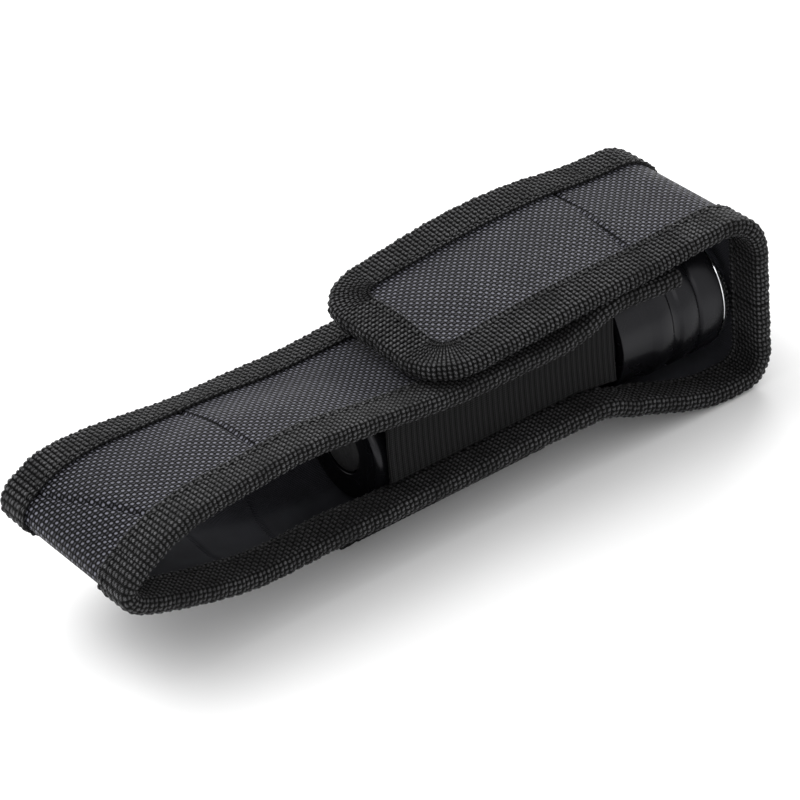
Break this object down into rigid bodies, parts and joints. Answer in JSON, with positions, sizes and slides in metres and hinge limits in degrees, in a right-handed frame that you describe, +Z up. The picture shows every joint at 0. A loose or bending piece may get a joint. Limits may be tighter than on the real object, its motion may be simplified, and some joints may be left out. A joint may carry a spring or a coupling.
{
  "type": "tactical flashlight",
  "caption": "Compact aluminium flashlight with polished bezel and tail switch, stowed in an open-sided padded nylon belt pouch with folding lid.",
  "frame": {"origin": "on the surface the pouch lies on, under the middle of its length and width", "axes": "+X along the pouch from the tail fold to the head of the light, +Y across it, +Z up through the lid"},
  "size_m": [0.1801, 0.0466, 0.0469],
  "materials": {
    "nylon": "coarse plain-woven nylon",
    "lining": "fine twill",
    "binding": "ribbed grosgrain tape",
    "elastic": "ribbed elastic",
    "webbing": "heavy webbing",
    "hook_and_loop": "hook and loop pile",
    "anodised": "black hard anodised",
    "bezel": "polished steel",
    "glass": "clear, flat",
    "reflector": "smooth bright coating",
    "rubber": "matte silicone",
    "circuit": "lacquered board",
    "emitter": "clear dome over phosphor",
    "brass": "machined",
    "steel": "drawn wire",
    "plastic": "moulded",
    "cell": "plain sleeve"
  },
  "bodies": {
    "pouch": {"body_shell": "nylon", "body_lining": "lining", "body_binding_left": "binding", "body_binding_right": "binding", "mouth_binding": "binding", "loop_patch": "hook_and_loop", "elastic_left": "elastic", "elastic_right": "elastic", "belt_loop": "webbing"},
    "end_wall": {"end_wall_shell": "nylon", "end_wall_lining": "lining", "end_wall_binding_left": "binding", "end_wall_binding_right": "binding"},
    "flap": {"flap_shell": "nylon", "flap_lining": "lining", "flap_binding": "binding", "hook_patch": "hook_and_loop"},
    "light": {"head_shell": "anodised", "bezel_ring": "bezel", "lens": "glass", "lens_gasket": "rubber", "reflector": "reflector", "led_board": "circuit", "led_emitter": "emitter", "heat_sink": "brass", "driver_board": "circuit", "driver_spring": "steel", "cell_carrier_front": "plastic", "cell_carrier_rear": "plastic", "cell_1": "cell", "cell_2": "cell", "cell_3": "cell", "carrier_post": "plastic", "body_tube": "anodised", "head_oring": "rubber"},
    "tail_cap": {"tail_cap": "anodised", "tail_oring": "rubber", "switch_body": "plastic", "switch_retainer": "brass", "tail_spring": "steel"},
    "tail_button": {"tail_button": "rubber", "switch_plunger": "plastic"}
  },
  "joints": [
    {"name": "end_wall_fold", "type": "hinge", "parent": "pouch", "child": "end_wall", "pos_m": [0.08761, 0, 0.00239], "axis": [0, 1, 0], "range_deg": [0, 90]},
    {"name": "flap_fold", "type": "hinge", "parent": "end_wall", "child": "flap", "pos_m": [0.08644, 0, 0.04334], "axis": [0, 1, 0], "range_deg": [0, 90]},
    {"name": "light_slide", "type": "slide", "parent": "pouch", "child": "light", "axis": [1, 0, 0], "range_m": [-0.002, 0]},
    {"name": "tail_cap_twist", "type": "hinge", "parent": "light", "child": "tail_cap", "pos_m": [-0.01, 0, 0.0198], "axis": [1, 0, 0], "range_deg": [0, 180]},
    {"name": "tail_button_press", "type": "slide", "parent": "tail_cap", "child": "tail_button", "axis": [1, 0, 0], "range_m": [0, 0.0016], "stiffness_N_per_m": 800, "springref_m": -0.001}
  ]
}
